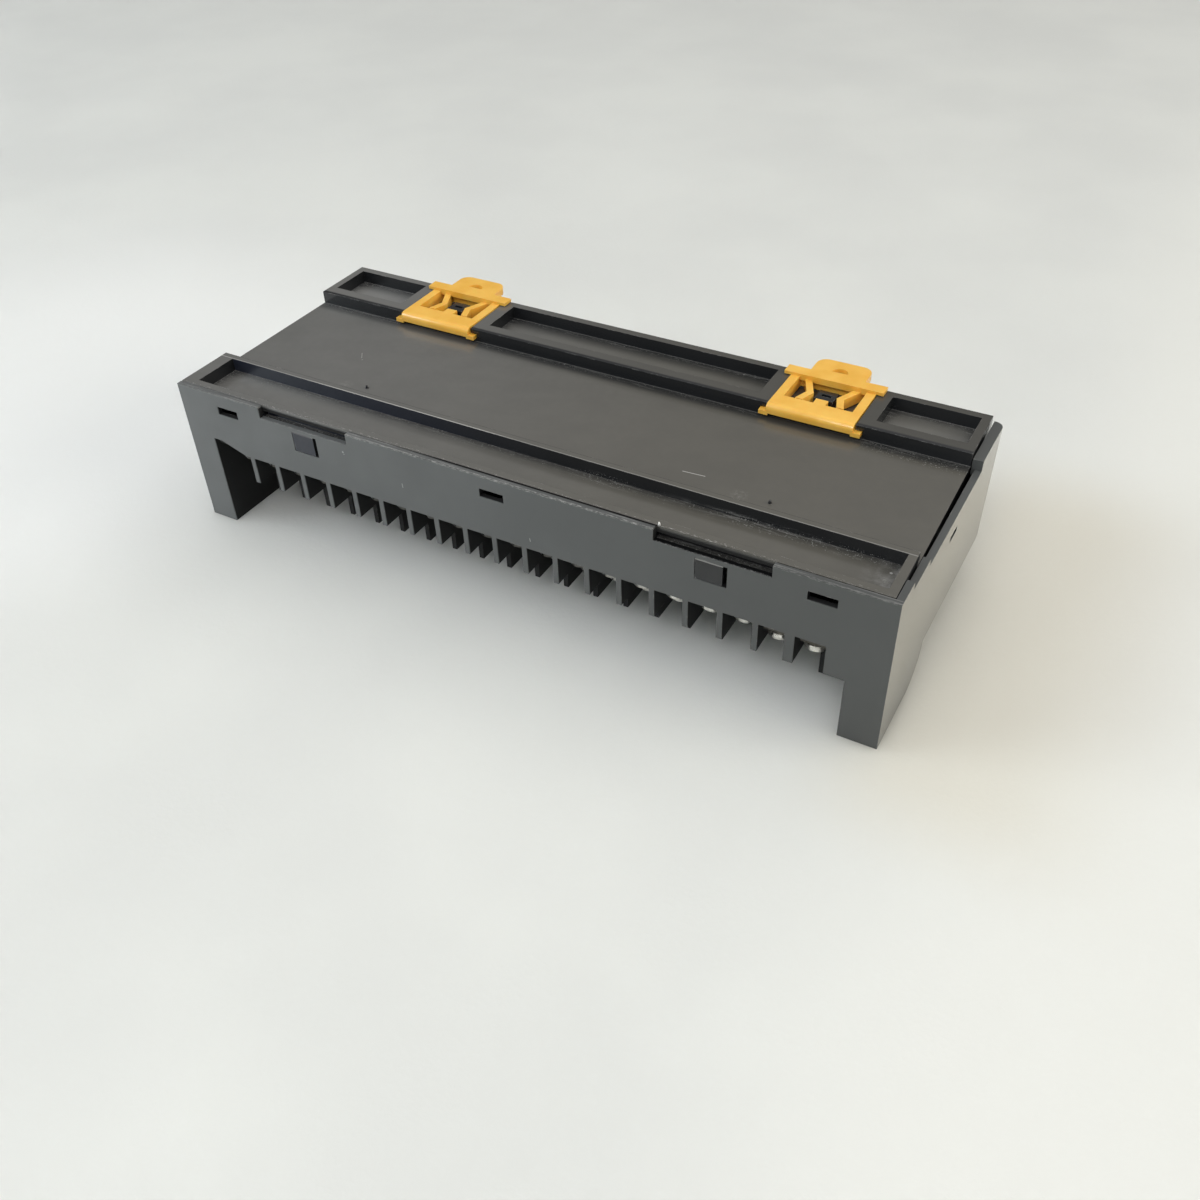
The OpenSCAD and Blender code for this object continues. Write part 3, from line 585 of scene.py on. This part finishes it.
def clip_finish():
    """Yellow-orange plastic that lets a little light in, with painted shade that deepens it in its corners.
    """
    f = Finish("clip_moulding")
    worn = worn_edges(f, reach=0.4, share=0.6)
    # Painted shade in the corners
    corner_shade = f.times(f.ramp(f.hidden(1.8), 0.25, 0.75), f.ramp(f.noise(0.9, 4), 0.4, 0.7))
    colour = f.mix(f.ramp(f.noise(0.16, 3), 0.3, 0.7), CLIP_DEEP, CLIP_LIGHT)
    colour = f.mix(f.times(corner_shade, 0.55), colour, CLIP_CORNER_SHADE)
    colour = f.mix(f.times(worn, 0.4), colour, CLIP_WORN)
    rough = f.ramp(f.noise(0.5, 4), 0.3, 0.7, 0.3, 0.42)
    grain = f.plus(f.times(f.noise(4, 2), 0.6), f.noise(0.5, 2))
    return f.close(
        colour, rough, f.bump(grain, 0.12, 0.08), IOR=1.5, Coat_Weight=0.4, Coat_Roughness=0.18,
        Subsurface_Weight=0.12, Subsurface_Scale=1.2 * MM,
    )


def board_finish():
    """Solder resist over traces that run together from the terminals to the socket."""
    low, high = box_mm("circuit_board")
    front = box_mm("upper_terminal_plates")[1].y
    pins_low, pins_high = box_mm("socket_pins_front")
    narrow = (pins_high.x - pins_low.x) / (high.x - low.x)
    f = Finish("board_resist")
    spread = f.less(f.ramp(f.y, front, pins_low.y), 1 - narrow)
    lane = f.math("FRACT", f.math("DIVIDE", f.math("DIVIDE", f.x, spread), PITCH / 2))
    trace = f.times(
        f.ramp(f.math("ABSOLUTE", f.math("SUBTRACT", lane, 0.5)), 0.16, 0.12),
        f.between(f.y, (front - 0.2, front), (pins_low.y, pins_low.y + 0.2)),
    )
    weave = f.noise(1.6, 3, stretch=(1, 0.3, 1))
    colour = f.mix(f.ramp(weave, 0.3, 0.7), RESIST_DARK, RESIST_LIGHT)
    colour = f.mix(trace, colour, TRACE_GREEN)
    rough = f.ramp(f.noise(0.7, 4), 0.3, 0.7, 0.26, 0.4)
    return f.close(colour, rough, f.bump(f.plus(trace, f.times(weave, 0.3)), 0.4, 0.05), IOR=1.52)


def socket_finish():
    f = Finish("socket_moulding")
    worn = worn_edges(f, reach=0.3, share=0.4)
    colour = f.mix(f.ramp(f.noise(0.3, 3), 0.3, 0.7), SOCKET_DARK, SOCKET_LIGHT)
    colour = f.mix(f.times(worn, 0.3), colour, SOCKET_WORN)
    rough = f.ramp(f.noise(0.6, 4), 0.3, 0.7, 0.42, 0.56)
    return f.close(colour, rough, f.bump(f.noise(6, 3), 0.2, 0.05), IOR=1.5)


def metal_finish(name, bright, dull, rough_low, rough_high, turned=(1, 1, 1), shade_share=0.0):
    """Plating with fine drawn lines and dull patches, darkened by painted shade at the block's left and
    middle when a share of it is given.
    """
    f = Finish(name)
    drawn = f.noise(6, 3, 0.6, stretch=turned)
    patch = f.ramp(f.noise(0.7, 4, 0.6), 0.35, 0.7)
    worn = worn_edges(f, reach=0.2, share=0.6)
    tone = f.plus(f.times(patch, 0.7), f.times(drawn, 0.3))
    colour = f.mix(tone, bright, dull)
    colour = f.mix(f.times(worn, 0.5), colour, tuple(min(1.0, 1.15 * c) for c in bright))
    # Painted shade, darker towards the block's left
    if shade_share:
        colour = f.mix(f.ramp(f.x, 45, 15, 0.0, shade_share), colour, SCREW_SHADE)
    rough = f.ramp(tone, 0.2, 0.8, rough_low, rough_high)
    return f.close(colour, rough, f.bump(drawn, 0.15, 0.03), Metallic=1.0)


def torn_finish(root_z):
    """Torn plastic, whitened towards its tip."""
    f = Finish("torn_plastic")
    colour = f.mix(f.ramp(f.z, root_z - 0.2, root_z + 0.7), TORN_ROOT, TORN_TIP)
    return f.close(colour, f.ramp(f.noise(3), 0.3, 0.7, 0.5, 0.7), f.bump(f.noise(5), 0.4, 0.05))


def soften(node, width, segments=2):
    """Rounds the outer and inner edges of a CAD node by a small radius."""
    made = frame["nodes"][node]
    weld = made.modifiers.new("weld", "WELD")
    weld.merge_threshold = WELD_WITHIN * MM
    flat = made.modifiers.new("flat", "DECIMATE")
    flat.decimate_type = "DISSOLVE"
    flat.angle_limit = FLAT_WITHIN
    bevel = made.modifiers.new("round", "BEVEL")
    bevel.width = width * MM
    bevel.segments = segments
    bevel.limit_method = "ANGLE"
    bevel.angle_limit = SHARP_FROM
    bevel.harden_normals = True
    bevel.use_clamp_overlap = True


def paint(node, material):
    data = frame["nodes"][node].data
    data.materials.clear()
    data.materials.append(material)


def loft(mesh, loops):
    """Closed skin through loops of points of the same number."""
    rings = [[mesh.verts.new(point * MM) for point in loop] for loop in loops]
    turns = len(rings[0])
    for a, b in zip(rings, rings[1:]):
        for k in range(turns):
            mesh.faces.new((a[k], b[k], b[(k + 1) % turns], a[(k + 1) % turns]))
    mesh.faces.new(rings[-1])
    mesh.faces.new(rings[0][::-1])


def smooth_piece(name, mesh, material):
    """A smooth object from a mesh that is done with."""
    bmesh.ops.recalc_face_normals(mesh, faces=mesh.faces)
    data = bpy.data.meshes.new(name)
    mesh.to_mesh(data)
    mesh.free()
    data.shade_smooth()
    data.materials.append(material)
    return put(name, data)


def solder_joint(centre, index):
    """Loops of one uneven cone of solder that hangs under the board round a flat tail."""
    rings = ((1.25, 0.0), (1.1, 0.08), (0.92, 0.26), (0.8, 0.5), (0.66, 0.58))
    turns = 18
    loops = []
    for radius, drop in rings:
        flatness = 0.62 if drop > 0.4 else 0.8
        loop = []
        for k in range(turns):
            a = 2 * pi * k / turns
            uneven = 1 + 0.05 * sin(2 * a + index) + 0.03 * sin(3 * a + 2.1 * index)
            side = Vector((cos(a), flatness * sin(a), 0)) * radius * uneven
            loop.append(centre + side - Vector((0, 0, drop)))
        loops.append(loop)
    return loops


def solder_joints(material):
    """Solder round the tails of both rows, where they come through the board."""
    board_z = box_mm("circuit_board")[0].z
    mesh = bmesh.new()
    for row in ("lower_terminal_plates", "upper_terminal_plates"):
        low, high = box_mm(row)
        for i in range(POLES):
            x = low.x + PLATE_WIDTH / 2 + PITCH * i
            loft(mesh, solder_joint(Vector((x, high.y - PLATE_THICKNESS / 2, board_z)), i))
    made = smooth_piece("solder_joints", mesh, material)
    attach(made, "block")


def edge_burr():
    """A torn flake of plastic that stands on the base's edge at the second notch."""
    low, high = box_mm("rail_base")
    root = Vector((38.55, low.y + 1.62, high.z))
    path = ((0, 0, -0.25), (0.02, -0.03, 0.2), (0.1, -0.1, 0.5), (0.08, -0.14, 0.72), (-0.05, -0.1, 0.86))
    sizes = ((0.34, 0.3), (0.3, 0.24), (0.24, 0.17), (0.16, 0.1), (0.05, 0.04))
    turns = 10
    loops = []
    for step, (wide, deep) in zip(path, sizes):
        loop = []
        for k in range(turns):
            a = 2 * pi * k / turns
            loop.append(root + Vector(step) + Vector((wide * cos(a), deep * sin(a), 0.08 * sin(2 * a))))
        loops.append(loop)
    mesh = bmesh.new()
    loft(mesh, loops)
    made = smooth_piece("edge_burr", mesh, torn_finish(high.z))
    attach(made, "block")


def floor_finish():
    """Pale foam, with painted light: a little brighter at the far left and right, and warmer beside the
    right end wall.
    """
    f = Finish("pale_floor")
    left = f.times(f.between(f.x, (-320, -190), (-130, -70)), f.between(f.y, (-120, -60), (20, 140)))
    right = f.ramp(f.x, 75, 130)
    warm = f.times(f.between(f.x, (70, 95), (105, 145)), f.between(f.y, (-70, -40), (50, 90)))
    colour = f.mix(f.ramp(f.noise(0.012, 3), 0.3, 0.7), FLOOR_DARK, FLOOR_LIGHT)
    # Painted light: brighter at the far left and right, warmer beside the right end wall
    colour = f.mix(left, colour, FLOOR_LEFT_PAINTED_LIGHT)
    colour = f.mix(right, colour, FLOOR_RIGHT_PAINTED_LIGHT)
    colour = f.mix(warm, colour, FLOOR_WARM_PAINTED_LIGHT)
    f.shader.subsurface_method = "BURLEY"
    return f.close(
        colour, 0.55, f.bump(f.noise(0.7, 4, 0.7), 0.25, 0.25), IOR=1.4, Subsurface_Weight=1.0,
        Subsurface_Radius=(1, 1, 1), Subsurface_Scale=12 * MM,
    )


def make_floor():
    """A plain pale sheet to stand on."""
    mesh = bmesh.new()
    bmesh.ops.create_grid(mesh, x_segments=1, y_segments=1, size=FLOOR_REACH)
    data = bpy.data.meshes.new("floor")
    mesh.to_mesh(data)
    mesh.free()
    data.materials.append(floor_finish())
    floor = put("floor", data)
    floor.location.z = cad_box[0][2] - FLOOR_GAP * MM


def area_light(name, place, aim, size, watts, colour=(1, 1, 1)):
    """A rectangular lamp. Its place, aim and size are in metres."""
    data = bpy.data.lights.new(name, "AREA")
    data.shape = "RECTANGLE"
    data.size, data.size_y = size
    data.energy = watts
    data.color = colour
    lamp = put(name, data)
    place, aim = Vector(place), Vector(aim)
    turn = (aim - place).to_track_quat("-Z", "Y").to_matrix()
    lamp.matrix_world = Matrix.Translation(place) @ turn.to_4x4()


def make_sky():
    """Pale light from above that is dim towards the horizon."""
    world = bpy.data.worlds.new("studio")
    world.use_nodes = True
    tree = world.node_tree
    level = tree.nodes.new("ShaderNodeMapRange")
    level.interpolation_type = "SMOOTHSTEP"
    limits = (*map(sin, SKY_ELEVATIONS), *SKY_LEVELS)
    for name, value in zip(("From Min", "From Max", "To Min", "To Max"), limits):
        level.inputs[name].default_value = value
    apart = tree.nodes.new("ShaderNodeSeparateXYZ")
    tree.links.new(tree.nodes.new("ShaderNodeTexCoord").outputs["Generated"], apart.inputs[0])
    tree.links.new(apart.outputs["Z"], level.inputs["Value"])
    sky = tree.nodes["Background"]
    sky.inputs["Color"].default_value = SKY_COLOUR
    tree.links.new(level.outputs[0], sky.inputs["Strength"])
    scene.world = world


def make_light():
    """A soft studio: the sky, a weak lamp overhead, and lamps in front and at both sides."""
    make_sky()
    area_light("overhead", (-0.15, -0.25, 1.3), (0, 0, 0), (1.2, 1.2), 0.8)
    area_light("key", (0.12, -0.75, 0.85), (0, -0.03, 0), (0.4, 0.4), 3.6)
    area_light("front", (-1.0, -0.53, 0.6), (0, 0, 0.01), (0.6, 0.5), 6.2, colour=(0.87, 0.95, 1.0))
    area_light("right", (1.1, 0.25, 0.5), (0.08, 0, 0.02), (0.8, 0.5), 7.5, colour=(1.0, 0.95, 0.84))
    scene.view_settings.view_transform = "Standard"


def paint_mouldings():
    paint("housing", housing_finish())
    paint("rail_base", base_finish())
    paint("socket_shroud", socket_finish())
    paint("circuit_board", board_finish())
    clip_plastic = clip_finish()
    for node in ("clip_left", "clip_right"):
        paint(node, clip_plastic)


def paint_metals(tin):
    """Each metal with its bright and dull colour, its roughness and the nodes that have it."""
    # Painted shade: the lower row's plates and washers are painted dark, as they lie in shade under the
    # deck
    dark = metal_finish(
        "shaded_lower_plating", (0.1, 0.094, 0.084), (0.055, 0.052, 0.046), 0.3, 0.5, turned=ALONG_X,
    )
    nickel = metal_finish("nickel_plating", (0.62, 0.61, 0.58), (0.42, 0.41, 0.39), 0.26, 0.48)
    # Painted shade on the lower screws at the left and middle
    shaded_screws = metal_finish(
        "shaded_screw_plating", (0.75, 0.74, 0.7), (0.52, 0.51, 0.48), 0.26, 0.48, shade_share=0.9,
    )
    washer = metal_finish(
        "washer_plating", (0.3, 0.295, 0.28), (0.19, 0.185, 0.175), 0.3, 0.5, turned=ALONG_Y,
    )
    spring = metal_finish("spring_steel", (0.28, 0.28, 0.275), (0.18, 0.18, 0.175), 0.3, 0.5)
    gold = metal_finish("pin_plating", (0.83, 0.6, 0.24), (0.66, 0.45, 0.16), 0.18, 0.34, turned=ALONG_Z)
    for metal, nodes in (
        (tin, ("upper_terminal_plates",)),
        (dark, ("lower_terminal_plates", "lower_square_washers", "lower_spring_washers")),
        (nickel, ("board_screws", "upper_terminal_screws")),
        (shaded_screws, ("lower_terminal_screws",)),
        (washer, ("upper_square_washers",)),
        (spring, ("upper_spring_washers",)),
        (gold, ("socket_pins_front", "socket_pins_rear")),
    ):
        for node in nodes:
            paint(node, metal)


make_camera()

tin_plating = metal_finish(
    "tin_plating", (0.46, 0.43, 0.37), (0.3, 0.275, 0.23), 0.24, 0.45, turned=ALONG_X,
)
paint_mouldings()
paint_metals(tin_plating)

soften("housing", 0.1)
soften("rail_base", 0.1)
soften("clip_left", 0.22, segments=3)
soften("clip_right", 0.22, segments=3)
soften("socket_shroud", 0.12)

solder_joints(tin_plating)
edge_burr()
make_floor()
make_light()
